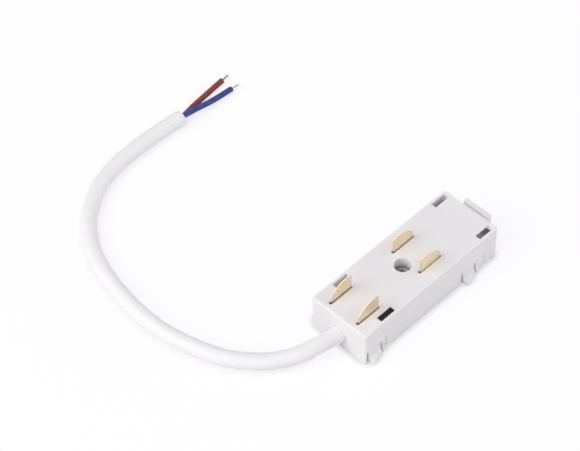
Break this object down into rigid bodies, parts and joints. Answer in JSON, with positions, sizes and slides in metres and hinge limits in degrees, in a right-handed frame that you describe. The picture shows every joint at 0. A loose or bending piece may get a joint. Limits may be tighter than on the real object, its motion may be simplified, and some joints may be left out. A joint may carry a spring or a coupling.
{
  "type": "magnetic track power feed",
  "caption": "Moulded feed module for a magnetic lighting track, with sprung brass contact blades, magnets, snap arms and a supply cable that ends in bare leads.",
  "frame": {"origin": "under the middle of the housing with its tongue, on the plane that the cover rests on", "axes": "+X from the cable end to the end tongue, +Z out of the contact face"},
  "size_m": [0.1003, 0.1159, 0.0188],
  "materials": {
    "white_plastic": "fine spark-eroded moulded white polycarbonate",
    "plated_steel": "zinc plated screw",
    "cable_sheath": "smooth white flexible sheath",
    "brown_core": "satin",
    "blue_core": "satin",
    "tinned_copper": "tinned stranded copper",
    "spring_steel": "drawn stainless wire",
    "magnet": "black epoxy coated magnet",
    "brass": "stamped brass, bright edges"
  },
  "bodies": {
    "housing": {"housing_shell": "white_plastic", "base_cover": "white_plastic", "cover_screw": "plated_steel", "strain_relief_clip": "white_plastic", "bus_strip_right": "brass", "bus_strip_left": "brass", "lead_brown_inner": "brown_core", "lead_blue_inner": "blue_core", "contact_spring_front_right": "spring_steel", "contact_spring_rear_right": "spring_steel", "contact_spring_front_left": "spring_steel", "contact_spring_rear_left": "spring_steel", "magnet_front_right": "magnet", "magnet_rear_right": "magnet", "magnet_front_left": "magnet", "magnet_rear_left": "magnet", "cable_sheath": "cable_sheath", "core_brown": "brown_core", "core_blue": "blue_core", "conductor_brown": "tinned_copper", "conductor_blue": "tinned_copper"},
    "blade_front_right": {"contact_blade_front_right": "brass"},
    "blade_rear_right": {"contact_blade_rear_right": "brass"},
    "blade_front_left": {"contact_blade_front_left": "brass"},
    "blade_rear_left": {"contact_blade_rear_left": "brass"}
  },
  "joints": [
    {"name": "blade_front_right_press", "type": "slide", "parent": "housing", "child": "blade_front_right", "axis": [0, 0, -1], "range_m": [0, 0.0022], "stiffness_N_per_m": 250, "springref_m": -0.002, "deforming": ["contact_spring_front_right"]},
    {"name": "blade_rear_right_press", "type": "slide", "parent": "housing", "child": "blade_rear_right", "axis": [0, 0, -1], "range_m": [0, 0.0022], "stiffness_N_per_m": 250, "springref_m": -0.002, "deforming": ["contact_spring_rear_right"]},
    {"name": "blade_front_left_press", "type": "slide", "parent": "housing", "child": "blade_front_left", "axis": [0, 0, -1], "range_m": [0, 0.0022], "stiffness_N_per_m": 250, "springref_m": -0.002, "deforming": ["contact_spring_front_left"]},
    {"name": "blade_rear_left_press", "type": "slide", "parent": "housing", "child": "blade_rear_left", "axis": [0, 0, -1], "range_m": [0, 0.0022], "stiffness_N_per_m": 250, "springref_m": -0.002, "deforming": ["contact_spring_rear_left"]}
  ]
}
